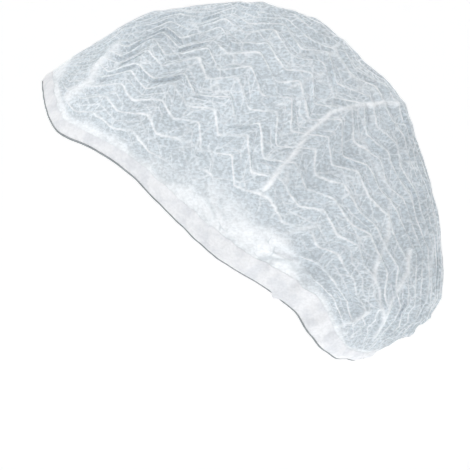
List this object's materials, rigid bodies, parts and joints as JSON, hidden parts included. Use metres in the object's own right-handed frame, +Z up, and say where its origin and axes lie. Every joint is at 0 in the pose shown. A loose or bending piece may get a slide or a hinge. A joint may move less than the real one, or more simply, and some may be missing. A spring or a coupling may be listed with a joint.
{
  "type": "disposable pleated cap",
  "caption": "Puffed, accordion-pleated cap of thin white nonwoven cloth with a folded hem and a thin elastic edge; covers the hair.",
  "frame": {"origin": "the middle of the opening, halfway along the straight line from the forehead edge to the nape edge", "axes": "+Z up as worn, -X towards the forehead, +X towards the back of the head, +Y towards the wearer's right"},
  "size_m": [0.2374, 0.2032, 0.2131],
  "materials": {
    "crown_cloth": "matte, thin and translucent",
    "hem_cloth": "matte, doubled cloth",
    "elastic": "matte"
  },
  "bodies": {
    "root": {"crown": "crown_cloth", "hem": "hem_cloth", "elastic": "elastic"}
  },
  "joints": []
}
